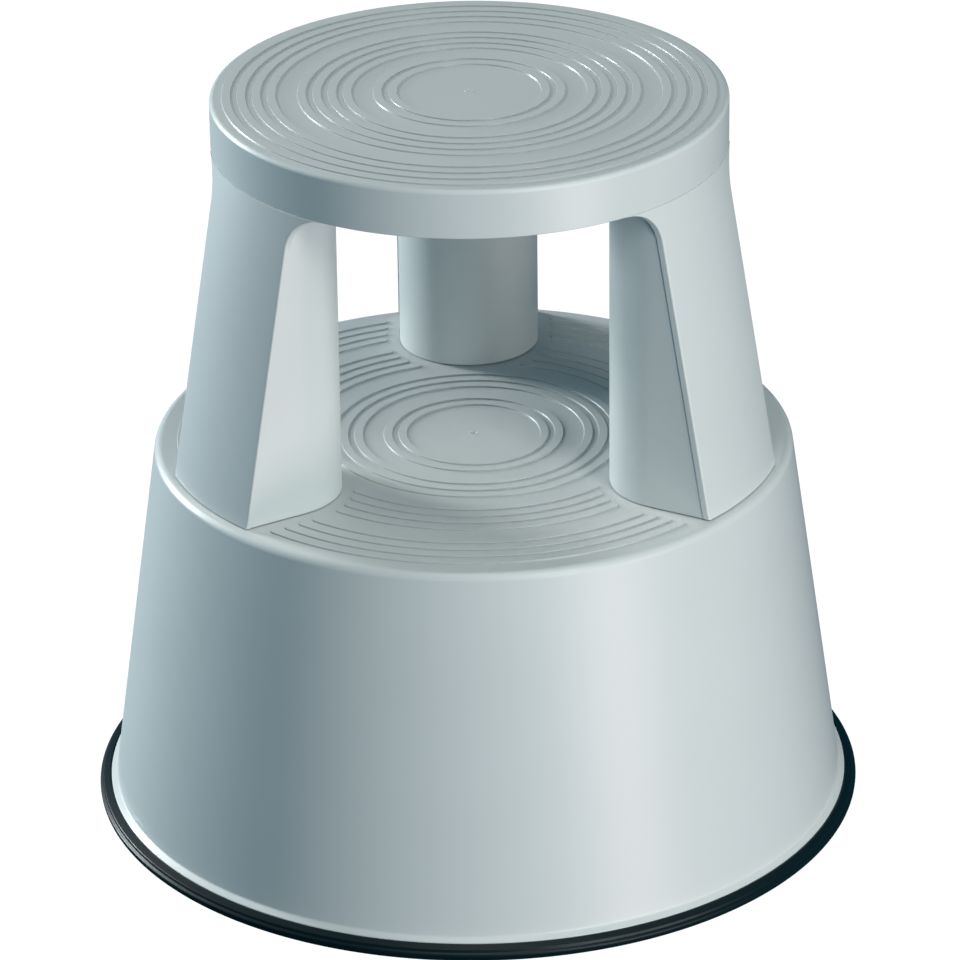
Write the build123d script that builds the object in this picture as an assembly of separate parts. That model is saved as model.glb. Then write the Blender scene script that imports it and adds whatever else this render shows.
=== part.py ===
from build123d import *
import os

# Kick step stool: two grey mouldings stand on a black rubber ring and three sprung swivel castors.
# Unloaded, the stool stands on its castors. Under a person's weight the castors give way
# and the ring grips the floor. Millimetres, +Z up, origin on the floor under the centre.

# Overall
HEIGHT = 430.0
THIRDS = 3
FIRST_LEG_ANGLE = 90.9

# Tread ridges, shared by both treads
RIDGE_PITCH = 8.29
RIDGE_WIDTH = 5.3
RIDGE_RISE = 0.8
RIDGE_CHAMFER = 0.35

# Upper moulding
WALL = 3.6
TOP_Z = HEIGHT - RIDGE_RISE
BAND_R = 142.4
BAND_BOTTOM = 401.6
RIM_ROUND = 3.5
TOP_RIDGE_R = 135.8
TOP_RIDGES = [0, 1, 2, 3, 5, 6, 7, 8, 10, 11]

# Legs: a hollow column with a round nose, closed outside by a flared skin
LEG_SLOPE = 0.1744
NOSE_CENTRE_R = 131.9
NOSE_R = 40.4
LEG_WALL = 3.4
SKIN_HALF_WIDTH = 41.0
ARCH_ROUND = 20.0
LEG_JOINT_GAP = 0.5
BOSS_R = 8.0
BOSS_HEIGHT = 46.0
BOSS_RADII = [116.0, 154.0]
PILOT_R = 2.1
LEG_RIB = 3.0

# Ribs under the top tread
TOP_RIBS = 12
TOP_RIB_DEPTH = 11.0
RIB_THICKNESS = 2.6
TOP_HUB_R = 22.0

# Lower moulding
TREAD_Z = 222.6
DRUM_SLOPE = 0.14224
DRUM_BASE_Z = 17.4
DRUM_BASE_R = 208.4
SHOULDER_ROUND = 5.0
LIP_R = 211.4
LIP_TOP = 15.4
LIP_BOTTOM = 12.6
TREAD_RIDGE_R = 166.9
INNER_TREAD_RIDGES = [10, 11, 12, 14, 15]
OUTER_TREAD_RIDGES = [0, 1, 2, 3, 5, 6, 7, 8]
RIDGE_LEG_GAP = 7.5
DRUM_RIBS = 12
DRUM_RIB_DEPTH = 20.0
DRUM_HUB_R = 26.0

# Rubber ring
RING_R = 218.6
RING_BOTTOM = 6.0
RING_TOP = 15.2
RING_INNER_R = 200.4
RING_INNER_TOP = 21.0

# Castor: sizes in its own frame, the swivel axis at the origin, the wheel trailing along +X
CASTOR_R = 152.0
CASTOR_ANGLE = FIRST_LEG_ANGLE + 60.0
TRAIL = 12.0
WHEEL_R = 20.0
WHEEL_WIDTH = 17.0
HUB_R = 14.5
RUNNING_GAP = 0.05
AXLE_R = 3.0
CHEEK = 2.4
CHEEK_GAP = 1.0
CHEEK_END_R = 8.0
FORK_TOP = 49.0
FORK_AHEAD = 14.0
FORK_BEHIND = 16.0
BEARING_R = 13.0
BEARING_TOP = 52.0
STEM_R = 5.0
STEM_FLANGE_R = 12.0
STEM_FLANGE_Z = 52.3
STEM_FLANGE_THICK = 2.5
RIVET_R = 8.0
RIVET_Z = 43.0
STROKE = 8.0
HOUSING_R = 13.4
HOUSING_INNER_R = 11.6
HOUSING_BOTTOM = 78.0
FLANGE_THICK = 2.4
HOUSING_TOP = 150.0
HOUSING_LID = 2.0
EAR_R = 7.0
BUSH_TOP = 92.0
RETAINER_R = 10.8
RETAINER_THICK = 3.0
GUIDE_R = 4.4
GUIDE_TOP = HOUSING_TOP - HOUSING_LID - STROKE - 12.0
SPRING_R = 8.2
WIRE_R = 1.0
SPRING_TURNS = 9
SCREW_SPACING = 23.0
SCREW_R = 2.0
SCREW_LENGTH = 16.0
TOWER_R = 17.0
TOWER_RIB = 3.0
TOWER_RIB_REACH = 60.0
TOWER_RIB_BOTTOM = 92.0
INNER_RIB_BOTTOM = 152.0
SCREW_BOSS_R = 5.5
SCREW_BOSS_HEIGHT = 30.0

# Screws that hold the legs down to the middle tread
LEG_SCREW_R = 2.5
LEG_SCREW_REACH = 24.0
WASHER_R = 7.5
WASHER_THICK = 1.2


ON_ITS_BASE = (Align.CENTER, Align.CENTER, Align.MIN)


def at(angle, radius=0.0):
    """A place on the stool: turned about +Z by angle, then out by radius."""
    return Rot(0, 0, angle) * Pos(radius, 0, 0)


def ring(outer, inner, bottom, top):
    """A plain tube about +Z; a disc when inner is 0."""
    tube = Pos(0, 0, bottom) * Cylinder(outer, top - bottom, align=ON_ITS_BASE)
    if inner > 0:
        tube -= Pos(0, 0, bottom) * Cylinder(inner, top - bottom, align=ON_ITS_BASE)
    return tube


def plate(length, width, bottom, top, x=0.0, y=0.0):
    """An upright box centred on x, y."""
    return Pos(x, y, bottom) * Box(length, width, top - bottom, align=ON_ITS_BASE)


def rounded_face(points, rounds=()):
    """A face from a closed outline, with some corners rounded: rounds holds (corner, radius) pairs."""
    face = make_face(Polyline(points, close=True)).face()
    for corner, radius in rounds:
        face = face.fillet_2d(radius, [face.vertices().sort_by_distance(corner)[0]])
    return face


def spun(points, rounds=()):
    """A solid of revolution about +Z from (radius, height) points; rounds holds (point, radius)."""
    outline = [(r, 0, z) for r, z in points]
    corners = [((r, 0, z), radius) for (r, z), radius in rounds]
    return revolve(rounded_face(outline, corners), Axis.Z, 360)


def ridge_outline(outer_r, base_z):
    """One raised ridge's outline, from its inner foot to its outer foot."""
    inner_r = outer_r - RIDGE_WIDTH
    crest_z = base_z + RIDGE_RISE
    return [
        (inner_r, base_z),
        (inner_r + RIDGE_CHAMFER, crest_z),
        (outer_r - RIDGE_CHAMFER, crest_z),
        (outer_r, base_z),
    ]


def tread_outline(first_r, numbers, base_z):
    """The tread's top from the centre outwards, with the ridges whose numbers are given."""
    points = [(0.0, base_z)]
    for number in sorted(numbers, reverse=True):
        points += ridge_outline(first_r - RIDGE_PITCH * number, base_z)
    return points


def one(shape):
    """The shape as a single solid."""
    return shape.solids().sort_by(SortBy.VOLUME)[-1]


def save(shape, name):
    shape.label = name
    export_step(shape, f"parts/{name}.step")


# ---------------------------------------------------------------- upper moulding

def skin_r(z, inset=0.0):
    """Radius of the upper moulding's outside at a height."""
    return BAND_R - inset + max(0.0, BAND_BOTTOM - z) * LEG_SLOPE


def outside(inset, bottom, top):
    """The upper moulding's whole outer form as a solid, set in by a wall's thickness."""
    return spun([
        (0, bottom), (skin_r(bottom, inset), bottom), (skin_r(BAND_BOTTOM, inset), BAND_BOTTOM),
        (skin_r(top, inset), top), (0, top),
    ])


def leg_column(inset, bottom, top):
    """A straight column with a round nose, pointing out along +X."""
    half = NOSE_R - inset
    reach = 80.0
    nose = Pos(NOSE_CENTRE_R, 0) * Circle(half)
    flank = Pos(NOSE_CENTRE_R + reach / 2, 0) * Rectangle(reach, 2 * half)
    return Pos(0, 0, bottom) * extrude(nose + flank, top - bottom)


def arch_window(bottom):
    """The leg's width with its rounded upper corners, drawn across and carried outwards."""
    w = SKIN_HALF_WIDTH
    r = ARCH_ROUND
    top = BAND_BOTTOM
    side = w + r + 1.0
    outline = [
        (-w, bottom), (-w, top), (-side, top), (-side, top + 2.0),
        (side, top + 2.0), (side, top), (w, top), (w, bottom),
    ]
    start_r = 90.0
    corners = [((start_r, y, top), r) for y in (-w, w)]
    face = rounded_face([(start_r, y, z) for y, z in outline], corners)
    return extrude(face, amount=100.0, dir=(1, 0, 0))


def leg_bosses(bottom):
    """Screw bosses in a leg, which rest on the middle tread, and the webs that tie them to its walls."""
    top = bottom + BOSS_HEIGHT
    web_bottom = bottom + 2.0
    bosses = plate(94.0, LEG_RIB, web_bottom, top, NOSE_CENTRE_R + 2.0)
    for r in BOSS_RADII:
        bosses += Pos(r, 0, 0) * ring(BOSS_R, 0, bottom, top)
        bosses += plate(LEG_RIB, 2 * NOSE_R - 2.0, web_bottom, top, r)
    return bosses


def make_upper_body():
    outline = tread_outline(TOP_RIDGE_R, TOP_RIDGES, TOP_Z)
    outline += [
        (BAND_R, TOP_Z), (BAND_R, BAND_BOTTOM), (BAND_R - WALL, BAND_BOTTOM),
        (BAND_R - WALL, TOP_Z - WALL), (0, TOP_Z - WALL),
    ]
    cap = spun(outline, [((BAND_R, TOP_Z), RIM_ROUND)])
    foot = TREAD_Z + LEG_JOINT_GAP
    under = TOP_Z - WALL
    full = outside(0, foot, under + 1.0)
    hollow = outside(WALL, foot - 1.0, under)
    shell = full - hollow
    skin = arch_window(foot) & shell
    column = leg_column(0, foot, under + 1.0) & full
    bore = leg_column(LEG_WALL, foot - 1.0, under) & hollow
    leg = skin + column - bore
    inside_walls = leg_column(LEG_WALL / 2, TREAD_Z, under) & outside(WALL / 2, TREAD_Z, under)
    leg += leg_bosses(TREAD_Z) & inside_walls
    ribs = ring(TOP_HUB_R, TOP_HUB_R - RIB_THICKNESS, under - TOP_RIB_DEPTH, under + 1.0)
    rib_middle = (TOP_HUB_R - RIB_THICKNESS + BAND_R) / 2
    for i in range(TOP_RIBS):
        rib = plate(BAND_R - TOP_HUB_R, RIB_THICKNESS, under - TOP_RIB_DEPTH, under + 1.0, rib_middle)
        ribs += at(FIRST_LEG_ANGLE + 360.0 / TOP_RIBS * (i + 0.5)) * rib
    ribs &= outside(1.0, under - TOP_RIB_DEPTH, under + 1.0)
    spokes = [at(FIRST_LEG_ANGLE + 360.0 / THIRDS * i) for i in range(THIRDS)]
    ribs -= [spoke * leg_column(LEG_WALL, foot - 1.0, under) for spoke in spokes]
    body = cap.fuse(*[spoke * leg for spoke in spokes], *ribs.solids())
    pilot = ring(PILOT_R, 0, TREAD_Z - 1.0, TREAD_Z + LEG_SCREW_REACH + 4.0)
    return one(body.cut(*[spoke * Pos(r, 0, 0) * pilot for spoke in spokes for r in BOSS_RADII]))


# ---------------------------------------------------------------- lower moulding

def drum_r(z, inset=0.0):
    """Radius of the drum's outside at a height."""
    return DRUM_BASE_R - inset - (z - DRUM_BASE_Z) * DRUM_SLOPE


def drum_inside(bottom, top):
    """The space inside the drum's wall."""
    return spun([
        (0, bottom), (drum_r(bottom, WALL - 1.0), bottom), (drum_r(top, WALL - 1.0), top), (0, top),
    ])


def outer_ridges():
    """Ridges that stop short of the legs' feet."""
    bands = None
    for number in OUTER_TREAD_RIDGES:
        outer_r = TREAD_RIDGE_R - RIDGE_PITCH * number
        points = ridge_outline(outer_r, TREAD_Z)
        band = spun([(points[0][0], TREAD_Z - 1.0)] + points + [(points[-1][0], TREAD_Z - 1.0)])
        bands = band if bands is None else bands + band
    for i in range(THIRDS):
        clear = leg_column(-RIDGE_LEG_GAP, TREAD_Z - 2.0, TREAD_Z + 3.0)
        bands -= at(FIRST_LEG_ANGLE + 360.0 / THIRDS * i) * clear
    return bands


def castor_place(number):
    """Where a castor stands. Its own +X runs around the stool, and its own +Y points to the centre."""
    return at(CASTOR_ANGLE + 360.0 / THIRDS * number, CASTOR_R) * Rot(0, 0, 90)


def flange_corners():
    """The two screws of a castor's flange, in the castor's own frame."""
    return [Pos(side * SCREW_SPACING, 0, 0) for side in (-1, 1)]


def castor_tower():
    """The moulded socket for one castor, its screw bosses and its ribs, in the castor's own frame."""
    top = TREAD_Z - WALL + 1.0
    bottom = HOUSING_BOTTOM + FLANGE_THICK
    tower = ring(TOWER_R, 0, bottom, top)
    reach = TOWER_RIB_REACH
    tower += plate(TOWER_RIB, reach, TOWER_RIB_BOTTOM, top, 0, -reach / 2)
    tower += plate(TOWER_RIB, reach, INNER_RIB_BOTTOM, top, 0, reach / 2)
    tower += plate(2 * SCREW_SPACING, TOWER_RIB, TOWER_RIB_BOTTOM, top)
    for corner in flange_corners():
        tower += corner * ring(SCREW_BOSS_R, 0, bottom, bottom + SCREW_BOSS_HEIGHT)
    return tower


def make_lower_body():
    under = TREAD_Z - WALL
    outline = tread_outline(TREAD_RIDGE_R, INNER_TREAD_RIDGES, TREAD_Z)
    outline += [
        (drum_r(TREAD_Z), TREAD_Z), (DRUM_BASE_R, DRUM_BASE_Z), (LIP_R, LIP_TOP), (LIP_R, LIP_BOTTOM),
        (drum_r(LIP_BOTTOM, WALL), LIP_BOTTOM), (drum_r(under, WALL), under), (0, under),
    ]
    shell = spun(outline, [
        ((drum_r(TREAD_Z), TREAD_Z), SHOULDER_ROUND),
        ((DRUM_BASE_R, DRUM_BASE_Z), 1.6),
        ((LIP_R, LIP_TOP), 0.8),
    ])
    ribs = ring(DRUM_HUB_R, DRUM_HUB_R - RIB_THICKNESS, under - DRUM_RIB_DEPTH, under + 1.0)
    rib_length = DRUM_BASE_R - DRUM_HUB_R
    rib_middle = DRUM_HUB_R - 1.0 + rib_length / 2
    for i in range(DRUM_RIBS):
        rib = plate(rib_length, RIB_THICKNESS, under - DRUM_RIB_DEPTH, under + 1.0, rib_middle)
        ribs += at(FIRST_LEG_ANGLE + 360.0 / DRUM_RIBS * (i + 0.5)) * rib
    wells = [castor_place(i) for i in range(THIRDS)]
    feet = [at(FIRST_LEG_ANGLE + 360.0 / THIRDS * i, r) for i in range(THIRDS) for r in BOSS_RADII]
    for well in wells:
        ribs += well * castor_tower()
    ribs &= drum_inside(LIP_BOTTOM, under + 1.0)
    body = shell.fuse(*outer_ridges().solids(), *ribs.solids())
    screw_hole = ring(SCREW_R, 0, HOUSING_BOTTOM, HOUSING_BOTTOM + FLANGE_THICK + SCREW_LENGTH + 2.0)
    cuts = []
    for well in wells:
        cuts.append(well * ring(HOUSING_R, 0, HOUSING_BOTTOM, HOUSING_TOP + 40.0))
        cuts += [well * corner * screw_hole for corner in flange_corners()]
    for foot in feet:
        cuts.append(foot * ring(LEG_SCREW_R + RUNNING_GAP, 0, under - 30.0, TREAD_Z + 5.0))
        cuts.append(foot * ring(WASHER_R + 0.5, 0, under - 30.0, under))
    return one(body.cut(*cuts))


def make_floor_ring():
    """The ring hooks under the lip and stands proud of it all round."""
    return one(spun([
        (LIP_R, RING_TOP), (LIP_R + 4.6, RING_TOP - 1.6), (LIP_R + 5.0, RING_TOP - 2.6),
        (RING_R - 1.0, RING_TOP - 3.4), (RING_R, RING_TOP - 4.6), (RING_R, RING_BOTTOM + 1.6),
        (RING_R - 1.6, RING_BOTTOM), (RING_INNER_R + 2.0, RING_BOTTOM), (RING_INNER_R, RING_BOTTOM + 2.0),
        (RING_INNER_R, RING_INNER_TOP), (RING_INNER_R + 2.6, RING_INNER_TOP),
        (RING_INNER_R + 3.4, LIP_BOTTOM), (LIP_R, LIP_BOTTOM),
    ]))


# ---------------------------------------------------------------- fasteners

def pan_screw(shank_r, length, head_r, head_height):
    """A pan-head screw: the shank points up from the head's seat at z = 0."""
    head = ring(head_r, 0, -head_height, 0)
    head = fillet(head.edges().sort_by(Axis.Z)[0], head_height * 0.45)
    slot = plate(head_r * 1.1, 0.9, -head_height, -head_height * 0.5)
    cross = plate(0.9, head_r * 1.1, -head_height, -head_height * 0.5)
    tip = ring(shank_r, 0, 0, length)
    tip = chamfer(tip.edges().sort_by(Axis.Z)[-1], shank_r * 0.5)
    return head + tip - slot - cross


def make_leg_screws():
    screws = []
    for i in range(THIRDS):
        for r in BOSS_RADII:
            seat = Pos(0, 0, TREAD_Z - WALL - WASHER_THICK)
            screw = pan_screw(PILOT_R, LEG_SCREW_REACH, 4.8, 3.2)
            screws.append(one(at(FIRST_LEG_ANGLE + 360.0 / THIRDS * i, r) * seat * screw))
    return Compound(children=screws)


def make_leg_washers():
    washers = []
    for i in range(THIRDS):
        for r in BOSS_RADII:
            washer = ring(WASHER_R, PILOT_R + 0.1, TREAD_Z - WALL - WASHER_THICK, TREAD_Z - WALL)
            washers.append(one(at(FIRST_LEG_ANGLE + 360.0 / THIRDS * i, r) * washer))
    return Compound(children=washers)


def make_housing_screws():
    screws = []
    for i in range(THIRDS):
        for corner in flange_corners():
            place = castor_place(i) * corner * Pos(0, 0, HOUSING_BOTTOM)
            screws.append(one(place * pan_screw(SCREW_R, SCREW_LENGTH, 3.8, 2.4)))
    return Compound(children=screws)


# ---------------------------------------------------------------- castor pieces

def make_housing():
    """The steel cup that holds the spring, with the flange that screws to the tower."""
    flange_top = HOUSING_BOTTOM + FLANGE_THICK
    cup = plate(2 * SCREW_SPACING, 2 * EAR_R, HOUSING_BOTTOM, flange_top)
    cup += ring(TOWER_R - 1.0, 0, HOUSING_BOTTOM, flange_top)
    cup += ring(HOUSING_R, 0, HOUSING_BOTTOM, HOUSING_TOP)
    for corner in flange_corners():
        cup += corner * ring(EAR_R, 0, HOUSING_BOTTOM, flange_top)
        cup -= corner * ring(SCREW_R, 0, HOUSING_BOTTOM - 1.0, flange_top + 1.0)
    cup -= ring(HOUSING_INNER_R, 0, HOUSING_BOTTOM - 1.0, HOUSING_TOP - HOUSING_LID)
    return one(cup)


def make_bush():
    """The nylon bush that guides the stem."""
    bush = ring(HOUSING_INNER_R, 0, HOUSING_BOTTOM, BUSH_TOP)
    bush += ring(HOUSING_INNER_R + 2.4, 0, HOUSING_BOTTOM - 2.0, HOUSING_BOTTOM)
    bush -= ring(STEM_R + RUNNING_GAP, 0, HOUSING_BOTTOM - 3.0, BUSH_TOP)
    return one(bush)


def make_stem():
    """The rod that slides in the bush, headed under the fork and flanged above it."""
    stem = ring(STEM_R, 0, RIVET_Z, BUSH_TOP + RETAINER_THICK)
    stem += ring(RIVET_R, 0, RIVET_Z - 2.0, FORK_TOP - CHEEK - 0.3)
    stem += ring(STEM_FLANGE_R, 0, STEM_FLANGE_Z, STEM_FLANGE_Z + STEM_FLANGE_THICK)
    stem += ring(GUIDE_R, 0, BUSH_TOP + RETAINER_THICK, GUIDE_TOP)
    return one(stem)


def make_retainer():
    """The collar pressed on the stem, which rests on the bush and carries the spring."""
    return one(ring(RETAINER_R, STEM_R, BUSH_TOP, BUSH_TOP + RETAINER_THICK))


def make_spring():
    bottom = BUSH_TOP + RETAINER_THICK + WIRE_R
    height = HOUSING_TOP - HOUSING_LID - WIRE_R - bottom
    path = Helix(height / SPRING_TURNS, height, SPRING_R)
    start = Plane(origin=path @ 0, z_dir=path % 0)
    return one(Pos(0, 0, bottom) * sweep(start * Circle(WIRE_R), path, is_frenet=True))


def make_bearing():
    """The thrust race between the fork and the stem's flange."""
    race = ring(BEARING_R, STEM_R + 0.4, FORK_TOP, BEARING_TOP)
    return one(fillet(race.edges().group_by(Axis.Z)[-1].sort_by(SortBy.LENGTH)[-1], 1.2))


def make_fork():
    """A pressed steel fork: a top plate and two cheeks that run down to the axle."""
    inner_y = WHEEL_WIDTH / 2 + CHEEK_GAP
    width = 2 * (inner_y + CHEEK)
    length = FORK_AHEAD + FORK_BEHIND
    fork = plate(length, width, FORK_TOP - CHEEK, FORK_TOP, FORK_BEHIND - length / 2)
    outline = [
        (-FORK_AHEAD, FORK_TOP), (FORK_BEHIND, FORK_TOP), (TRAIL + CHEEK_END_R, WHEEL_R),
        (TRAIL - CHEEK_END_R, WHEEL_R), (-FORK_AHEAD, FORK_TOP - CHEEK_END_R),
    ]
    profile = Polyline([(x, 0, z) for x, z in outline], close=True)
    cheek = extrude(make_face(profile), amount=CHEEK, dir=(0, 1, 0))
    cheek += Pos(TRAIL, CHEEK / 2, WHEEL_R) * Rot(90, 0, 0) * Cylinder(CHEEK_END_R, CHEEK)
    fork += Pos(0, inner_y, 0) * cheek
    fork += Pos(0, -inner_y - CHEEK, 0) * cheek
    fork -= ring(STEM_R + RUNNING_GAP, 0, FORK_TOP - 10.0, FORK_TOP + 1.0)
    fork -= Pos(TRAIL, 0, WHEEL_R) * Rot(90, 0, 0) * Cylinder(AXLE_R, width + 10.0)
    return one(fork)


def make_axle():
    """A plain pin, headed outside both cheeks."""
    outer_y = WHEEL_WIDTH / 2 + CHEEK_GAP + CHEEK
    axle = Cylinder(AXLE_R, 2 * outer_y)
    for side in (-1, 1):
        axle += Pos(0, 0, side * (outer_y + 0.7)) * Cylinder(AXLE_R + 1.6, 1.4)
    return one(Pos(TRAIL, 0, WHEEL_R) * Rot(90, 0, 0) * axle)


def wheel_ring(outline, rounds=()):
    """A solid of revolution about the axle from (radius, offset along the axle) points."""
    return one(Pos(TRAIL, 0, WHEEL_R) * Rot(90, 0, 0) * spun(outline, rounds))


def make_wheel():
    """The nylon wheel centre: a bored hub, a thinner web and a rim."""
    half = WHEEL_WIDTH / 2
    bore = AXLE_R + RUNNING_GAP
    return wheel_ring([
        (bore, -half), (6.5, -half), (6.5, -3.0), (11.0, -3.0), (11.0, -half + 0.6), (HUB_R, -half + 0.6),
        (HUB_R, half - 0.6), (11.0, half - 0.6), (11.0, 3.0), (6.5, 3.0), (6.5, half), (bore, half),
    ])


def make_tyre():
    """The soft tread around the wheel, with rounded shoulders."""
    half = WHEEL_WIDTH / 2 - 0.6
    shoulder = 3.0
    outline = [(HUB_R, -half), (WHEEL_R, -half), (WHEEL_R, half), (HUB_R, half)]
    return wheel_ring(outline, [((WHEEL_R, side * half), shoulder) for side in (-1, 1)])


CASTOR_PIECES = {
    "castor_housing": make_housing,
    "castor_bush": make_bush,
    "castor_stem": make_stem,
    "castor_retainer": make_retainer,
    "castor_spring": make_spring,
    "castor_bearing": make_bearing,
    "castor_fork": make_fork,
    "castor_axle": make_axle,
    "castor_wheel": make_wheel,
    "castor_tyre": make_tyre,
}


os.makedirs("parts", exist_ok=True)
save(make_upper_body(), "upper_body")
save(make_lower_body(), "lower_body")
save(make_floor_ring(), "floor_ring")
save(make_leg_screws(), "leg_screws")
save(make_leg_washers(), "leg_washers")
save(make_housing_screws(), "housing_screws")
for name, make in CASTOR_PIECES.items():
    piece = make()
    for n in range(THIRDS):
        save(one(castor_place(n) * piece), f"{name}_{n + 1}")
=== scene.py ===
import math

import bmesh
import bpy
from mathutils import Matrix, Vector


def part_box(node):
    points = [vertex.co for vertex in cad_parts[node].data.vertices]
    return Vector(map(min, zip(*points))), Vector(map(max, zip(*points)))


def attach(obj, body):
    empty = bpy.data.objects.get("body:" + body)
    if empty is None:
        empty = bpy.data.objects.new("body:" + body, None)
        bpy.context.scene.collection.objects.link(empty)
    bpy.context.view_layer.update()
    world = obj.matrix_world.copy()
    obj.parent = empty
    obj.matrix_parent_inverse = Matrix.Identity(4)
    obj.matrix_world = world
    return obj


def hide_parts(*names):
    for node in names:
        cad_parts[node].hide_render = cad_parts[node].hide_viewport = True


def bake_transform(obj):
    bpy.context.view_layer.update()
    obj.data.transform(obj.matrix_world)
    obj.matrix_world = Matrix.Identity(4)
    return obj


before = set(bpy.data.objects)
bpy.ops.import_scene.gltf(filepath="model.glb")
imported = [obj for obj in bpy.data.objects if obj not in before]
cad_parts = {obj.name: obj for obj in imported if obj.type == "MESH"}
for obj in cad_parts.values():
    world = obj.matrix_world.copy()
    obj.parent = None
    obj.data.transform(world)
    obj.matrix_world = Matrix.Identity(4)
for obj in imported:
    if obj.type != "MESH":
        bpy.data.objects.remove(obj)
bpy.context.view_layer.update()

# Sizes are in millimetres until a mesh is made; the scene is in metres.
MM = 0.001
SEGMENTS = 480
HUB_SEGMENTS = 96
POST_SEGMENTS = 48
ARC_STEP = 14.0
ON_AXIS = 1e-6
WELD = 0.0005
SHARP_ANGLE = 32.0
# How far pieces reach into each other before they are combined
OVERLAP = 1.0
THIRDS = 3
FIRST_LEG_ANGLE = 90.9

# Tread ridges
RIDGE_PITCH = 8.29
RIDGE_WIDTH = 5.3
RIDGE_RISE = 0.8
RIDGE_SLOPE = 0.3
CREST_ROUND = 0.22
FOOT_ROUND = 0.1
RIDGE_STEP = 1.5
RIDGE_END_STEPS = 8
RIDGE_TIP = 0.04
# The small mark of the mould's gate in a tread's centre
GATE_R = 2.6
GATE_DEPTH = 0.25
GATE_FLOOR = 0.6
GATE_CREST = 0.8
GATE_ROUND = 0.2
GATE_CREST_ROUND = 0.15
# Where a tread's faces start below its flat, and how flat a face is that isn't a ridge's flank; steeper faces
# take the painted flank shade
TREAD_DEPTH = 0.4
FLAT_NORMAL = 0.6

# Upper moulding
WALL = 3.6
TOP_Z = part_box("upper_body")[1].z / MM - RIDGE_RISE
BAND_R = 142.4
BAND_BOTTOM = 401.6
BAND_EDGE_ROUND = 0.5
RIM_ROUND = 2.8
CAP_INSIDE_ROUND = 1.0
TOP_RIDGE_R = 135.8
TOP_RIDGES = [0, 1, 2, 3, 5, 6, 7, 8, 10, 11]
TOP_RIBS = 12
TOP_RIB_DEPTH = 11.0
RIB_THICKNESS = 2.6
RIB_ROUND = 0.4
TOP_HUB_R = 22.0

# Legs
LEG_SLOPE = 0.1744
NOSE_CENTRE_R = 131.9
NOSE_R = 40.4
LEG_WALL = 3.4
SKIN_HALF_WIDTH = 41.0
LEDGE = 0.35
SKIN_INSET = 0.6
LEDGE_RISE = 0.1
EDGE_ROUND = 1.2
EDGE_STEPS = 6
INNER_EDGE_ROUND = 0.15
FLANK_STEP = 0.35
SKIN_STEPS = 14
NOSE_STEPS = 24
HOLLOW_SKIN_STEPS = 10
HOLLOW_NOSE_STEPS = 32
ARCH_ROUND = 20.0
ARCH_STEPS = 18
STRAIGHT_STEPS = 12
FOOT_CORNER = 3.0
FOOT_EDGE = 0.3
FOOT_STEPS = 10
LEG_JOINT_GAP = 0.6

# Lower moulding. The legs' screw bosses stand on its tread, so the upper body's box starts there.
TREAD_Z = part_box("upper_body")[0].z / MM
LEG_FOOT = TREAD_Z + LEG_JOINT_GAP
DRUM_SLOPE = 0.14224
DRUM_BASE_Z = 16.8
DRUM_BASE_R = 208.5
SHOULDER_ROUND = 5.0
DRUM_INSIDE_ROUND = 2.0
WALL_FOOT_ROUND = 0.6
LIP_R = 211.9
LIP_TOP = 14.8
LIP_BOTTOM = 12.6
LIP_FLARE_ROUND = 1.6
LIP_TOP_ROUND = 0.8
LIP_BOTTOM_ROUND = 0.3
TREAD_RIDGE_R = 166.9
INNER_TREAD_RIDGES = [10, 11, 12, 14, 15]
OUTER_TREAD_RIDGES = [0, 1, 2, 3, 5, 6, 7, 8]
RIDGE_LEG_GAP = 7.5
DRUM_RIBS = 12
DRUM_RIB_DEPTH = 20.0
DRUM_HUB_R = 26.0

# Castor sockets inside the drum
CASTOR_ANGLE = FIRST_LEG_ANGLE + 60.0
CASTOR_R = 152.0
SOCKET_BOTTOM = 80.4
SOCKET_R = 17.0
SOCKET_BORE = 13.4
SOCKET_BORE_TOP = 190.0
SCREW_SPACING = 23.0
SCREW_BOSS_R = 5.5
SCREW_BOSS_HEIGHT = 30.0
SCREW_HOLE_R = 2.0
SCREW_HOLE_DEPTH = 18.0
WEB = 3.0
WEB_BOTTOM = 92.0
WEB_REACH = 60.0
INNER_WEB_BOTTOM = 152.0

# Rubber ring
RING_R = -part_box("floor_ring")[0].x / MM
RING_BOTTOM = 6.0
RING_TOP = 14.6
RING_INNER_R = 200.4
RING_INNER_TOP = 21.0
# Its bead beside the lip: how far out, how far down from the top, and the corner's round
RING_BEAD = [(1.0, 0.0, 0.4), (4.6, 1.4, 0.8), (5.2, 2.8, 0.5)]
RING_LIP_DROP = 0.2
RING_LIP_GAP = 0.1
RING_SHOULDER_DROP = 3.8
RING_SHOULDER_ROUND = 1.2
RING_OUTER_ROUND = 3.8
RING_INNER_ROUND = 1.5
UPSTAND_WIDTH = 2.6
UPSTAND_FOOT_WIDTH = 3.4
UPSTAND_ROUND = 0.8
UPSTAND_FOOT_ROUND = 0.5

# Castor springs
SPRING_WIRE_R = 1.0
SPRING_R = 8.2
SPRING_TURNS = 9
SPRING_LOW, SPRING_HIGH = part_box("castor_spring_1")
SPRING_RISE = (SPRING_HIGH.z - SPRING_LOW.z) / MM - 2 * SPRING_WIRE_R
CLOSED_PITCH = 2.1
SPRING_STEPS = 32
SPRING_SIDES = 12


# ---------------------------------------------------------------- mesh helpers

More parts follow.
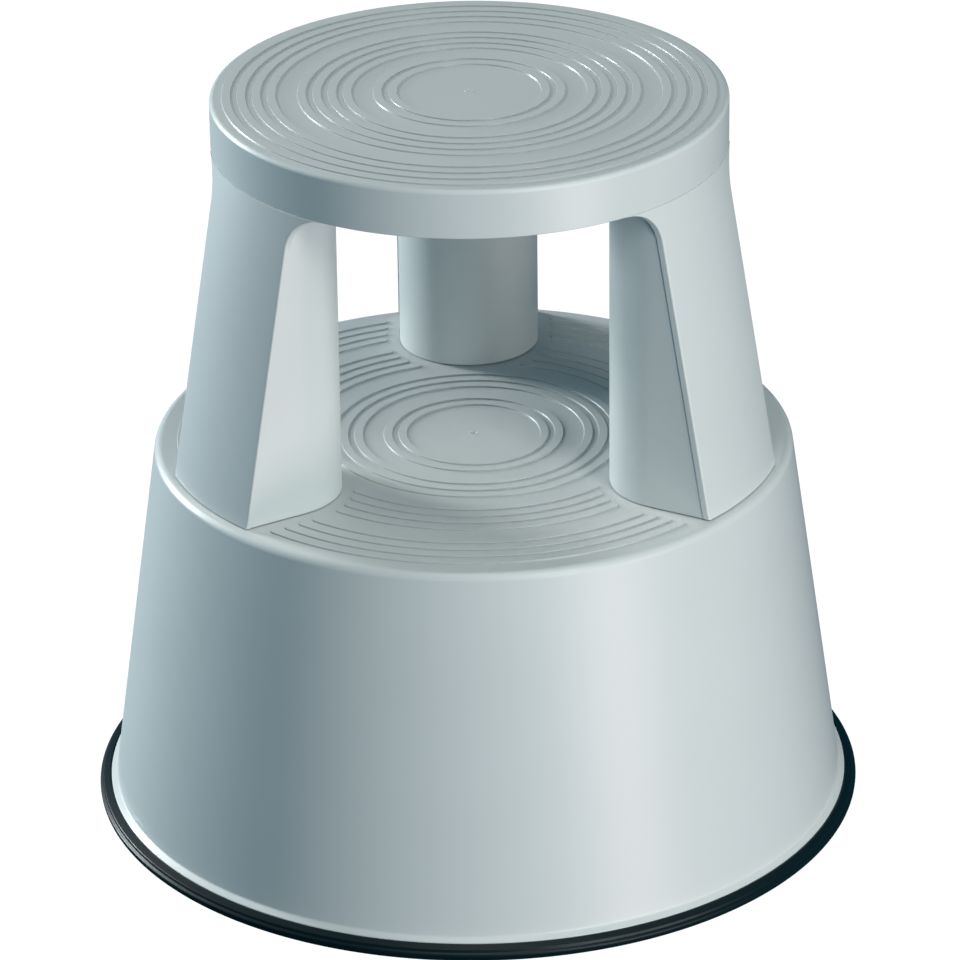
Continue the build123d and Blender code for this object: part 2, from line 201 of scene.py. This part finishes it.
def rounded(corners, closed, steps=None):
    """A flat outline from (a, b) or (a, b, round) corners, with each round drawn as an arc."""
    points = []
    count = len(corners)
    for i, corner in enumerate(corners):
        here = Vector(corner[:2])
        inside = closed or 0 < i < count - 1
        if len(corner) < 3 or not inside:
            points.append(here)
            continue
        back = (Vector(corners[i - 1][:2]) - here).normalized()
        ahead = (Vector(corners[(i + 1) % count][:2]) - here).normalized()
        half = back.angle(ahead) / 2
        centre = here + (back + ahead).normalized() * corner[2] / math.sin(half)
        start = here + back * corner[2] / math.tan(half) - centre
        end = here + ahead * corner[2] / math.tan(half) - centre
        turn = math.pi - 2 * half
        parts = steps or max(2, math.ceil(math.degrees(turn) / ARC_STEP))
        for k in range(parts + 1):
            share = k / parts
            mix = start * math.sin((1 - share) * turn) + end * math.sin(share * turn)
            points.append(centre + mix / math.sin(turn))
    return points


def new_piece(name, bm):
    """An object in metres from a bmesh in millimetres, with its doubles merged and its normals outwards."""
    bmesh.ops.remove_doubles(bm, verts=bm.verts, dist=WELD)
    bmesh.ops.recalc_face_normals(bm, faces=bm.faces)
    bmesh.ops.scale(bm, vec=(MM, MM, MM), verts=bm.verts)
    mesh = bpy.data.meshes.new(name)
    bm.to_mesh(mesh)
    bm.free()
    piece = bpy.data.objects.new(name, mesh)
    bpy.context.scene.collection.objects.link(piece)
    return piece


def join_rings(bm, rings, closed_ends):
    """Faces between neighbouring rings of vertices; a ring may be a single vertex on the axis."""
    count = max(len(ring) for ring in rings)
    pairs = list(zip(rings, rings[1:]))
    if closed_ends:
        pairs.append((rings[-1], rings[0]))
    for low, high in pairs:
        for i in range(count):
            j = (i + 1) % count
            corners = [low[i % len(low)], low[j % len(low)], high[j % len(high)], high[i % len(high)]]
            bm.faces.new(list(dict.fromkeys(corners)))


def lathe(name, corners, closed=False, segments=SEGMENTS):
    """A body of revolution about +Z. An open outline starts and ends on the axis."""
    bm = bmesh.new()
    rings = []
    for r, z in rounded(corners, closed):
        if r < ON_AXIS:
            rings.append([bm.verts.new((0, 0, z))])
            continue
        turns = [2 * math.pi * i / segments for i in range(segments)]
        rings.append([bm.verts.new((r * math.cos(t), r * math.sin(t), z)) for t in turns])
    join_rings(bm, rings, closed)
    return new_piece(name, bm)


def loft(name, loops):
    """A closed body through loops of points that match one to one, capped at both ends."""
    bm = bmesh.new()
    rings = [[bm.verts.new(p) for p in loop] for loop in loops]
    join_rings(bm, rings, False)
    bm.faces.new(rings[0])
    bm.faces.new(rings[-1])
    return new_piece(name, bm)


def tube(name, radius, bottom, top, x, y, segments=POST_SEGMENTS):
    """A plain upright cylinder."""
    turns = [2 * math.pi * i / segments for i in range(segments)]
    loop = [(x + radius * math.cos(t), y + radius * math.sin(t)) for t in turns]
    return loft(name, [[(a, b, z) for a, b in loop] for z in (bottom, top)])


def web(name, corners, thickness):
    """A flat plate: its (distance along +X, height) outline, carried across +-Y."""
    return loft(name, [[(a, side * thickness / 2, z) for a, z in corners] for side in (-1, 1)])


def turned(piece, angle):
    """The piece turned about +Z, with the turn baked into its mesh."""
    piece.data.transform(Matrix.Rotation(math.radians(angle), 4, "Z"))
    return piece


def joined(pieces):
    """One object from pieces that don't touch each other."""
    bm = bmesh.new()
    for piece in pieces:
        bm.from_mesh(piece.data)
        if piece is not pieces[0]:
            bpy.data.objects.remove(piece)
    bm.to_mesh(pieces[0].data)
    bm.free()
    return pieces[0]


def combine(body, tools, operation="UNION"):
    """Adds or cuts the tools, one after another, and removes them."""
    for tool in tools:
        step = body.modifiers.new(operation, "BOOLEAN")
        step.operation = operation
        step.solver = "MANIFOLD"
        step.object = tool
    bpy.context.view_layer.update()
    graph = bpy.context.evaluated_depsgraph_get()
    mesh = bpy.data.meshes.new_from_object(body.evaluated_get(graph))
    body.modifiers.clear()
    body.data = mesh
    for tool in tools:
        bpy.data.objects.remove(tool)
    return body


def smooth(piece):
    """Smooth shading that stays flat on flats and breaks at edges."""
    for polygon in piece.data.polygons:
        polygon.use_smooth = True
    piece.data.set_sharp_from_angle(angle=math.radians(SHARP_ANGLE))
    weigh = piece.modifiers.new("Weighted normals", "WEIGHTED_NORMAL")
    weigh.keep_sharp = True
    return piece


# ---------------------------------------------------------------- shared outlines

def ridge_corners(outer_r, base_z):
    """One ridge's section, from its inner foot to its outer foot, with soft edges."""
    inner_r = outer_r - RIDGE_WIDTH
    crest_z = base_z + RIDGE_RISE
    return [
        (inner_r, base_z, FOOT_ROUND),
        (inner_r + RIDGE_SLOPE, crest_z, CREST_ROUND),
        (outer_r - RIDGE_SLOPE, crest_z, CREST_ROUND),
        (outer_r, base_z, FOOT_ROUND),
    ]


def tread_corners(first_r, numbers, base_z):
    """A tread's top from the centre outwards: the gate mark, then the ridges."""
    corners = [
        (0.0, base_z - GATE_DEPTH),
        (GATE_R * GATE_FLOOR, base_z - GATE_DEPTH, GATE_ROUND),
        (GATE_R * GATE_CREST, base_z + GATE_DEPTH, GATE_CREST_ROUND),
        (GATE_R, base_z, GATE_ROUND),
    ]
    for number in sorted(numbers, reverse=True):
        corners += ridge_corners(first_r - RIDGE_PITCH * number, base_z)
    return corners


def leg_angles():
    """The angles about +Z that the legs stand at."""
    return [FIRST_LEG_ANGLE + 360.0 / THIRDS * i for i in range(THIRDS)]


def make_hub(radius, bottom, top):
    """The short tube under a tread's centre, where its ribs meet."""
    inner_r = radius - RIB_THICKNESS
    return lathe("hub", [
        (radius, bottom, RIB_ROUND), (radius, top), (inner_r, top), (inner_r, bottom, RIB_ROUND),
    ], closed=True, segments=HUB_SEGMENTS)


def make_ribs(corners, count):
    """Radial ribs, evenly spaced, with none under the middle of a leg."""
    return joined([turned(web("rib", corners, RIB_THICKNESS), FIRST_LEG_ANGLE + 360.0 / count * (i + 0.5))
                   for i in range(count)])


# ---------------------------------------------------------------- upper moulding

def skin_r(z):
    """Radius of the legs' outside at a height: a fine ledge stands out under the band."""
    if z > BAND_BOTTOM:
        return BAND_R - SKIN_INSET
    return BAND_R + LEDGE + (BAND_BOTTOM - z) * LEG_SLOPE


def skin_half_width(z):
    """Half of a leg's width outside: it flares into the arch, and its feet have round corners."""
    width = SKIN_HALF_WIDTH
    rise = z - (BAND_BOTTOM - ARCH_ROUND)
    if rise > 0:
        width += ARCH_ROUND - math.sqrt(max(0.0, ARCH_ROUND ** 2 - min(rise, ARCH_ROUND) ** 2))
    drop = LEG_FOOT + FOOT_CORNER - z
    if drop > 0:
        width -= FOOT_CORNER - math.sqrt(max(0.0, FOOT_CORNER ** 2 - drop ** 2))
    return width


def across(radius, y):
    """Where a circle about the stool's axis stands at a sideways distance y."""
    return math.sqrt(radius ** 2 - y ** 2)


def leg_loop(z, inset=0.0):
    """A leg's outline at a height: skin, edge, flank and round nose, mirrored about +X."""
    skin = skin_r(z) - inset
    width = max(skin_half_width(z), NOSE_R + FLANK_STEP) - inset
    nose = NOSE_R - inset
    inner = skin - WALL
    sweep = math.asin((width - 2 * EDGE_ROUND) / skin)
    turns = [sweep * k / SKIN_STEPS for k in range(SKIN_STEPS + 1)]
    half = [(skin * math.cos(t), skin * math.sin(t)) for t in turns]
    edge = rounded([
        half[-1], (across(skin, width), width, EDGE_ROUND),
        (across(inner, width), width, INNER_EDGE_ROUND), (across(inner, nose), nose), (NOSE_CENTRE_R, nose),
    ], False, steps=EDGE_STEPS)
    half += [tuple(p) for p in edge[1:]]
    for k in range(1, NOSE_STEPS + 1):
        turn = math.radians(90 + 90 * k / NOSE_STEPS)
        half.append((NOSE_CENTRE_R + nose * math.cos(turn), nose * math.sin(turn)))
    mirrored = [(x, -y) for x, y in half[-2:0:-1]]
    return [(x, y, z) for x, y in half + mirrored]


def leg_heights():
    """Heights to draw a leg at: close together in its rounded foot and in the arch."""
    corner_top = LEG_FOOT + FOOT_CORNER
    straight = BAND_BOTTOM - ARCH_ROUND
    heights = [corner_top - FOOT_CORNER * math.cos(math.radians(90 * k / FOOT_STEPS))
               for k in range(FOOT_STEPS)]
    heights += [corner_top + (straight - corner_top) * k / STRAIGHT_STEPS
                for k in range(STRAIGHT_STEPS + 1)]
    heights += [straight + ARCH_ROUND * math.sin(math.radians(90 * k / ARCH_STEPS))
                for k in range(1, ARCH_STEPS + 1)]
    return heights


def foot_inset(z):
    """How far a leg's outline is drawn in at a height, to round the edge of its foot."""
    below = max(0.0, 1 - (z - LEG_FOOT) / FOOT_EDGE)
    return FOOT_EDGE * (1 - math.sqrt(1 - below ** 2))


def make_leg():
    """A leg from its foot to the underside of the top tread."""
    loops = [leg_loop(z, foot_inset(z)) for z in leg_heights()]
    loops += [leg_loop(z) for z in (BAND_BOTTOM + LEDGE_RISE, TOP_Z - WALL + OVERLAP)]
    return loft("leg", loops)


def make_leg_hollow():
    """The space inside a leg."""
    loops = []
    half = NOSE_R - LEG_WALL
    for z in (LEG_FOOT - OVERLAP, BAND_BOTTOM, TOP_Z - WALL):
        inner = skin_r(z) - WALL
        sweep = math.asin(half / inner)
        turns = [sweep * k / HOLLOW_SKIN_STEPS for k in range(-HOLLOW_SKIN_STEPS, HOLLOW_SKIN_STEPS + 1)]
        loop = [(inner * math.cos(t), inner * math.sin(t)) for t in turns]
        turns = [math.radians(90 + 180 * k / HOLLOW_NOSE_STEPS) for k in range(HOLLOW_NOSE_STEPS + 1)]
        loop += [(NOSE_CENTRE_R + half * math.cos(t), half * math.sin(t)) for t in turns]
        loops.append([(x, y, z) for x, y in loop])
    return loft("leg_hollow", loops)


def make_upper_moulding():
    """The top tread with its band, its ribs and its three hollow legs."""
    under = TOP_Z - WALL
    bottom = under - TOP_RIB_DEPTH
    top = under + OVERLAP
    cap = lathe("upper_moulding", tread_corners(TOP_RIDGE_R, TOP_RIDGES, TOP_Z) + [
        (BAND_R, TOP_Z, RIM_ROUND), (BAND_R, BAND_BOTTOM, BAND_EDGE_ROUND),
        (BAND_R - WALL, BAND_BOTTOM, BAND_EDGE_ROUND), (BAND_R - WALL, under, CAP_INSIDE_ROUND), (0, under),
    ])
    inside = make_hub(TOP_HUB_R, bottom, top)
    start, end = TOP_HUB_R - OVERLAP, BAND_R - WALL / 2
    corners = [(start, bottom), (end, bottom), (end, top), (start, top)]
    combine(inside, [make_ribs(corners, TOP_RIBS)])
    legs = joined([turned(make_leg(), angle) for angle in leg_angles()])
    hollows = joined([turned(make_leg_hollow(), angle) for angle in leg_angles()])
    combine(cap, [inside, legs])
    combine(cap, [hollows], "DIFFERENCE")
    return smooth(cap)


# ---------------------------------------------------------------- lower moulding

def drum_r(z, inset=0.0):
    """Radius of the drum's outside at a height."""
    return DRUM_BASE_R - inset - (z - DRUM_BASE_Z) * DRUM_SLOPE


def ridge_end(radius):
    """The angle from a leg's middle at which a ridge stops, clear of the leg's outline."""
    reach = NOSE_R + RIDGE_LEG_GAP
    if radius ** 2 >= NOSE_CENTRE_R ** 2 + reach ** 2:
        return math.asin(reach / radius)
    cosine = (radius ** 2 + NOSE_CENTRE_R ** 2 - reach ** 2) / (2 * radius * NOSE_CENTRE_R)
    return math.acos(cosine)


def make_outer_ridge(outer_r, start, end):
    """A ridge along an arc, with round ends."""
    half = RIDGE_WIDTH / 2
    middle = outer_r - half
    section = rounded([
        (half, -OVERLAP), (half, 0.0), (half - RIDGE_SLOPE, RIDGE_RISE, CREST_ROUND), (0.0, RIDGE_RISE),
    ], False)
    round_angle = half / middle
    quarter = [math.radians(90 - 90 * k / RIDGE_END_STEPS) for k in range(RIDGE_END_STEPS + 1)]
    stations = [(start + round_angle * (1 - math.sin(q)), math.cos(q)) for q in quarter]
    steps = max(RIDGE_END_STEPS, int(math.degrees(end - start) / RIDGE_STEP))
    inner_start, inner_end = start + round_angle, end - round_angle
    stations += [(inner_start + (inner_end - inner_start) * k / steps, 1.0) for k in range(1, steps)]
    stations += [(end - round_angle * (1 - math.sin(q)), math.cos(q)) for q in reversed(quarter)]
    loops = []
    for angle, width in stations:
        width = max(width, RIDGE_TIP)
        side = [(a * width, z) for a, z in section]
        outline = side + [(-a, z) for a, z in side[-2::-1]]
        loops.append([((middle + a) * math.cos(angle), (middle + a) * math.sin(angle), TREAD_Z + z)
                      for a, z in outline])
    return loft("ridge", loops)


def socket_angles():
    """The angles about +Z of the castors, each midway between two legs."""
    return [CASTOR_ANGLE + 360.0 / THIRDS * i for i in range(THIRDS)]


def three(make, *arguments):
    """The same part at each castor, as one object."""
    return joined([turned(make(*arguments), angle) for angle in socket_angles()])


def screw_posts(radius, bottom, top):
    """The two upright cylinders beside a castor, for its screws."""
    return joined([tube("post", radius, bottom, top, CASTOR_R, side * SCREW_SPACING) for side in (-1, 1)])


def make_sockets():
    """The castors' sockets under the middle tread: bosses, webs and screw bosses."""
    top = TREAD_Z - WALL + OVERLAP
    sockets = three(tube, "boss", SOCKET_R, SOCKET_BOTTOM, top, CASTOR_R, 0.0, HUB_SEGMENTS)
    in_wall = WALL / 2
    outer = [(CASTOR_R, WEB_BOTTOM), (drum_r(WEB_BOTTOM, in_wall), WEB_BOTTOM),
             (drum_r(top, in_wall), top), (CASTOR_R, top)]
    inner = [(CASTOR_R - WEB_REACH, INNER_WEB_BOTTOM), (CASTOR_R, INNER_WEB_BOTTOM), (CASTOR_R, top),
             (CASTOR_R - WEB_REACH, top)]
    side = [(CASTOR_R - WEB / 2, WEB_BOTTOM), (CASTOR_R + WEB / 2, WEB_BOTTOM), (CASTOR_R + WEB / 2, top),
            (CASTOR_R - WEB / 2, top)]
    return combine(sockets, [
        three(web, "outer_web", outer, WEB), three(web, "inner_web", inner, WEB),
        three(web, "side_web", side, 2 * SCREW_SPACING),
        three(screw_posts, SCREW_BOSS_R, SOCKET_BOTTOM, SOCKET_BOTTOM + SCREW_BOSS_HEIGHT),
    ])


def make_lower_moulding():
    """The drum with the middle tread, its lip, its ribs and the castors' sockets."""
    under = TREAD_Z - WALL
    bottom = under - DRUM_RIB_DEPTH
    top = under + OVERLAP
    shell = lathe("lower_moulding", tread_corners(TREAD_RIDGE_R, INNER_TREAD_RIDGES, TREAD_Z) + [
        (drum_r(TREAD_Z), TREAD_Z, SHOULDER_ROUND), (DRUM_BASE_R, DRUM_BASE_Z, LIP_FLARE_ROUND),
        (LIP_R, LIP_TOP, LIP_TOP_ROUND), (LIP_R, LIP_BOTTOM, LIP_BOTTOM_ROUND),
        (drum_r(LIP_BOTTOM, WALL), LIP_BOTTOM, WALL_FOOT_ROUND),
        (drum_r(under, WALL), under, DRUM_INSIDE_ROUND), (0, under),
    ])
    ridges = []
    for number in OUTER_TREAD_RIDGES:
        outer_r = TREAD_RIDGE_R - RIDGE_PITCH * number
        clear = ridge_end(outer_r - RIDGE_WIDTH / 2)
        for angle in leg_angles():
            start = math.radians(angle) + clear
            end = math.radians(angle + 360.0 / THIRDS) - clear
            ridges.append(make_outer_ridge(outer_r, start, end))
    inside = make_hub(DRUM_HUB_R, bottom, top)
    start = DRUM_HUB_R - OVERLAP
    corners = [(start, bottom), (drum_r(bottom, WALL / 2), bottom), (drum_r(under, WALL / 2), top),
               (start, top)]
    combine(inside, [make_ribs(corners, DRUM_RIBS), make_sockets()])
    below = SOCKET_BOTTOM - OVERLAP
    combine(inside, [
        three(tube, "bore", SOCKET_BORE, below, SOCKET_BORE_TOP, CASTOR_R, 0.0, HUB_SEGMENTS),
        three(screw_posts, SCREW_HOLE_R, below, SOCKET_BOTTOM + SCREW_HOLE_DEPTH),
    ], "DIFFERENCE")
    return smooth(combine(shell, [inside, joined(ridges)]))


def make_ring():
    """The rubber ring: a bead beside the lip, a round-edged tread, and an upstand inside the drum."""
    bead = [(LIP_R + out, RING_TOP - drop, corner) for out, drop, corner in RING_BEAD]
    seat = LIP_BOTTOM - RING_LIP_GAP
    return smooth(lathe("base_ring", [
        (LIP_R, RING_TOP - RING_LIP_DROP), *bead,
        (RING_R, RING_TOP - RING_SHOULDER_DROP, RING_SHOULDER_ROUND), (RING_R, RING_BOTTOM, RING_OUTER_ROUND),
        (RING_INNER_R, RING_BOTTOM, RING_INNER_ROUND), (RING_INNER_R, RING_INNER_TOP, UPSTAND_ROUND),
        (RING_INNER_R + UPSTAND_WIDTH, RING_INNER_TOP, UPSTAND_ROUND),
        (RING_INNER_R + UPSTAND_FOOT_WIDTH, seat, UPSTAND_FOOT_ROUND), (LIP_R, seat),
    ], closed=True))


def coil_height(turn):
    """How high a spring's wire has climbed after some turns: its end turns are closed."""
    closed = CLOSED_PITCH * SPRING_WIRE_R
    if turn < 1:
        return closed * turn
    if turn > SPRING_TURNS - 1:
        return SPRING_RISE - closed * (SPRING_TURNS - turn)
    return closed + (SPRING_RISE - 2 * closed) * (turn - 1) / (SPRING_TURNS - 2)


def make_spring(number, angle):
    """A castor's coil spring in the CAD spring's place, with its end turns closed; the CAD spring is hidden.
    """
    name = f"castor_spring_{number}"
    low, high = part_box(name)
    middle = (low + high) / 2 / MM
    bottom = low.z / MM + SPRING_WIRE_R
    stations = SPRING_TURNS * SPRING_STEPS
    loops = []
    for k in range(stations + 1):
        turn = k / SPRING_STEPS
        around = math.radians(angle) + 2 * math.pi * turn
        z = bottom + coil_height(turn)
        loop = []
        for j in range(SPRING_SIDES):
            side = 2 * math.pi * j / SPRING_SIDES
            r = SPRING_R + SPRING_WIRE_R * math.cos(side)
            loop.append((middle.x + r * math.cos(around), middle.y + r * math.sin(around),
                         z + SPRING_WIRE_R * math.sin(side)))
        loops.append(loop)
    coil = smooth(loft(f"coil_{number}", loops))
    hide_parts(name)
    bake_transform(coil)
    return coil


upper = make_upper_moulding()
lower = make_lower_moulding()
ring = make_ring()
for piece, node, slot in ((upper, "upper_body", "grey_moulding"), (lower, "lower_body", "grey_moulding"),
                          (ring, "floor_ring", "black_rubber")):
    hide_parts(node)
    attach(piece, "stool")
coils = [make_spring(i + 1, angle) for i, angle in enumerate(socket_angles())]


# ---------------------------------------------------------------- materials

CLOUD_SCALE = 14.0
MOTTLE = 0.03
ROUGHNESS_SPREAD = 0.06
GRAIN_SIZE = 0.4
GRAIN_DEPTH = 0.02


def material(name, color, roughness, grain, metallic=0.0):
    """A procedural surface: faint mottling in colour and roughness, and a fine grain in the bump."""
    made = bpy.data.materials.new(name)
    made.use_nodes = True
    nodes, links = made.node_tree.nodes, made.node_tree.links
    shader = nodes["Principled BSDF"]
    shader.inputs["Metallic"].default_value = metallic
    place = nodes.new("ShaderNodeTexCoord")
    cloud = nodes.new("ShaderNodeTexNoise")
    cloud.inputs["Scale"].default_value = CLOUD_SCALE
    cloud.inputs["Detail"].default_value = 3.0
    links.new(place.outputs["Object"], cloud.inputs["Vector"])
    tint = nodes.new("ShaderNodeMix")
    tint.data_type = "RGBA"
    tint.inputs["A"].default_value = [c * (1 - MOTTLE) for c in color] + [1]
    tint.inputs["B"].default_value = [min(1.0, c * (1 + MOTTLE)) for c in color] + [1]
    links.new(cloud.outputs["Fac"], tint.inputs["Factor"])
    links.new(tint.outputs["Result"], shader.inputs["Base Color"])
    fine = nodes.new("ShaderNodeTexNoise")
    fine.inputs["Scale"].default_value = 1.0 / (GRAIN_SIZE * MM)
    fine.inputs["Detail"].default_value = 2.0
    links.new(place.outputs["Object"], fine.inputs["Vector"])
    rough = nodes.new("ShaderNodeMapRange")
    rough.inputs["To Min"].default_value = roughness * (1 - ROUGHNESS_SPREAD)
    rough.inputs["To Max"].default_value = roughness * (1 + ROUGHNESS_SPREAD)
    links.new(cloud.outputs["Fac"], rough.inputs["Value"])
    links.new(rough.outputs["Result"], shader.inputs["Roughness"])
    bump = nodes.new("ShaderNodeBump")
    bump.inputs["Strength"].default_value = grain
    bump.inputs["Distance"].default_value = GRAIN_DEPTH * MM
    links.new(fine.outputs["Fac"], bump.inputs["Height"])
    links.new(bump.outputs["Normal"], shader.inputs["Normal"])
    return made


GREY = (0.64, 0.666, 0.66)
# Painted shade: the ridges' steep flanks take the grey darkened by this factor
FLANK_PAINTED_SHADE = 0.66
RUBBER_SHEEN = 0.22
moulded = material("moulded_grey", GREY, 0.37, 0.25)
tread = material("tread_grey", GREY, 0.5, 0.6)
# Painted shade on the ridges' steep flanks: the same grey, darkened
flank = material("ridge_flank_painted_shade", [FLANK_PAINTED_SHADE * c for c in GREY], 0.3, 0.3)
rubber = material("ring_rubber", (0.003, 0.011, 0.014), 0.36, 0.3)
rubber.node_tree.nodes["Principled BSDF"].inputs["Specular IOR Level"].default_value = RUBBER_SHEEN
zinc = material("zinc_plate", (0.58, 0.58, 0.56), 0.32, 0.3, metallic=1.0)
turned_steel = material("turned_steel", (0.66, 0.66, 0.67), 0.22, 0.2, metallic=1.0)
wire = material("spring_wire", (0.35, 0.35, 0.36), 0.3, 0.2, metallic=1.0)
race = material("bearing_race", (0.30, 0.30, 0.31), 0.3, 0.2, metallic=1.0)
white_nylon = material("white_nylon", (0.78, 0.77, 0.72), 0.45, 0.3)
grey_nylon = material("grey_nylon", (0.30, 0.31, 0.32), 0.5, 0.3)
soft_tyre = material("castor_rubber", (0.03, 0.03, 0.032), 0.6, 0.5)


def paint(piece, *surfaces):
    """Gives the piece these materials in place of its own."""
    piece.data.materials.clear()
    for surface in surfaces:
        piece.data.materials.append(surface)


def mark_tread_and_flank_shade(piece, bottom, radius):
    """The faces of a tread take the second material, and its ridges' steep flanks the third, a darker grey
    that paints shade on them.
    """
    for polygon in piece.data.polygons:
        middle = polygon.center
        if middle.z > bottom * MM and middle.xy.length < radius * MM:
            polygon.material_index = 2 if polygon.normal.z < FLAT_NORMAL else 1


# On both treads the third material paints shade on the ridges' steep flanks
paint(upper, moulded, tread, flank)
mark_tread_and_flank_shade(upper, TOP_Z - TREAD_DEPTH, BAND_R - RIM_ROUND)
paint(lower, moulded, tread, flank)
mark_tread_and_flank_shade(lower, TREAD_Z - TREAD_DEPTH, drum_r(TREAD_Z) - SHOULDER_ROUND)
paint(ring, rubber)
for coil in coils:
    paint(coil, wire)
NODE_SURFACES = {
    "leg_screws": zinc, "leg_washers": zinc, "housing_screws": zinc, "castor_housing": zinc,
    "castor_bush": white_nylon, "castor_stem": turned_steel, "castor_retainer": turned_steel,
    "castor_fork": zinc, "castor_bearing": race, "castor_axle": turned_steel,
    "castor_wheel": grey_nylon, "castor_tyre": soft_tyre,
}
for name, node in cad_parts.items():
    family = name.rstrip("0123456789").rstrip("_")
    if family in NODE_SURFACES:
        paint(node, NODE_SURFACES[family])


# ---------------------------------------------------------------- studio

BACKDROP = 1.05
AROUND_COLOR = (0.02, 0.6, 1.0, 1)
AROUND_STRENGTH = 0.12
FLOOR_REACH = 4.0
LAMP_DISTANCE = 2.5
LAMP_AIM = Vector((0, 0, 0.2))


def lamp(name, azimuth, elevation, size, power, color):
    """A softbox that faces the stool. Azimuth 0 is in front, 90 to the right, and it goes on round."""
    light = bpy.data.lights.new(name, "AREA")
    light.shape = "RECTANGLE"
    light.size, light.size_y = size
    light.energy = power
    light.color = color
    placed = bpy.data.objects.new(name, light)
    bpy.context.scene.collection.objects.link(placed)
    a, e = math.radians(azimuth), math.radians(elevation)
    out = Vector((math.sin(a) * math.cos(e), -math.cos(a) * math.cos(e), math.sin(e)))
    placed.location = LAMP_AIM + out * LAMP_DISTANCE
    placed.rotation_euler = out.to_track_quat("Z", "Y").to_euler()
    placed.visible_camera = False


# A low key from behind on the left rakes across both treads; broad softboxes fill in from the right.
lamp("key", 240, 9, (0.45, 0.45), 52, (0.84, 0.97, 1.0))
lamp("key_top", 234, 26, (0.45, 0.45), 26, (1.0, 0.97, 0.95))
lamp("front_softbox", 31, 6, (0.7, 0.7), 17, (0.80, 0.95, 1.0))
lamp("front_top_softbox", 31, 41, (0.7, 1.1), 20, (1.0, 0.99, 0.92))
lamp("right_softbox", 54, 8, (0.7, 0.6), 11, (1.0, 0.97, 0.88))
lamp("low_softbox", 45, -14, (0.8, 0.6), 14, (1.0, 0.80, 0.78))
lamp("top_softbox", 0, 82, (0.7, 0.7), 11, (1.0, 1.0, 0.93))


def studio_world():
    """White behind the stool, and almost no light from around it."""
    world = bpy.data.worlds.new("studio")
    bpy.context.scene.world = world
    world.use_nodes = True
    nodes, links = world.node_tree.nodes, world.node_tree.links
    around = nodes["Background"]
    around.inputs["Color"].default_value = AROUND_COLOR
    around.inputs["Strength"].default_value = AROUND_STRENGTH
    behind = nodes.new("ShaderNodeBackground")
    behind.inputs["Strength"].default_value = BACKDROP
    seen = nodes.new("ShaderNodeLightPath")
    mixed = nodes.new("ShaderNodeMixShader")
    links.new(seen.outputs["Is Camera Ray"], mixed.inputs["Fac"])
    links.new(around.outputs["Background"], mixed.inputs[1])
    links.new(behind.outputs["Background"], mixed.inputs[2])
    links.new(mixed.outputs["Shader"], nodes["World Output"].inputs["Surface"])


def studio_floor():
    """A white floor that glows evenly, and can be looked through from below."""
    mesh = bpy.data.meshes.new("floor")
    corners = [(x * FLOOR_REACH, y * FLOOR_REACH, 0) for x, y in ((-1, -1), (1, -1), (1, 1), (-1, 1))]
    mesh.from_pydata(corners, [], [(0, 1, 2, 3)])
    floor = bpy.data.objects.new("floor", mesh)
    bpy.context.scene.collection.objects.link(floor)
    white = bpy.data.materials.new("floor_white")
    white.use_nodes = True
    nodes, links = white.node_tree.nodes, white.node_tree.links
    nodes.remove(nodes["Principled BSDF"])
    glow = nodes.new("ShaderNodeEmission")
    glow.inputs["Strength"].default_value = BACKDROP
    clear = nodes.new("ShaderNodeBsdfTransparent")
    side = nodes.new("ShaderNodeNewGeometry")
    mixed = nodes.new("ShaderNodeMixShader")
    links.new(side.outputs["Backfacing"], mixed.inputs["Fac"])
    links.new(glow.outputs["Emission"], mixed.inputs[1])
    links.new(clear.outputs["BSDF"], mixed.inputs[2])
    links.new(mixed.outputs["Shader"], nodes["Material Output"].inputs["Surface"])
    mesh.materials.append(white)
    floor.visible_diffuse = False
    floor.visible_glossy = False
    floor.visible_shadow = False


studio_world()
studio_floor()
bpy.context.scene.view_settings.view_transform = "Standard"


# ---------------------------------------------------------------- camera

LENS = 206.17
SENSOR = 36.0
CAMERA_DISTANCE = 3.1094
CAMERA_ELEVATION = 25.52
CAMERA_ROLL = -0.73
CAMERA_AIM = Vector((0.00326, 0.0, 0.19327))
lens = bpy.data.cameras.new("camera")
lens.lens = LENS
lens.sensor_width = SENSOR
lens.clip_end = 50.0
camera = bpy.data.objects.new("camera", lens)
bpy.context.scene.collection.objects.link(camera)
tilt = math.radians(CAMERA_ELEVATION)
out = Vector((0, -math.cos(tilt), math.sin(tilt)))
camera.location = CAMERA_AIM + out * CAMERA_DISTANCE
level = out.to_track_quat("Z", "Y").to_matrix()
camera.rotation_euler = (level @ Matrix.Rotation(math.radians(CAMERA_ROLL), 3, "Z")).to_euler()
bpy.context.scene.camera = camera
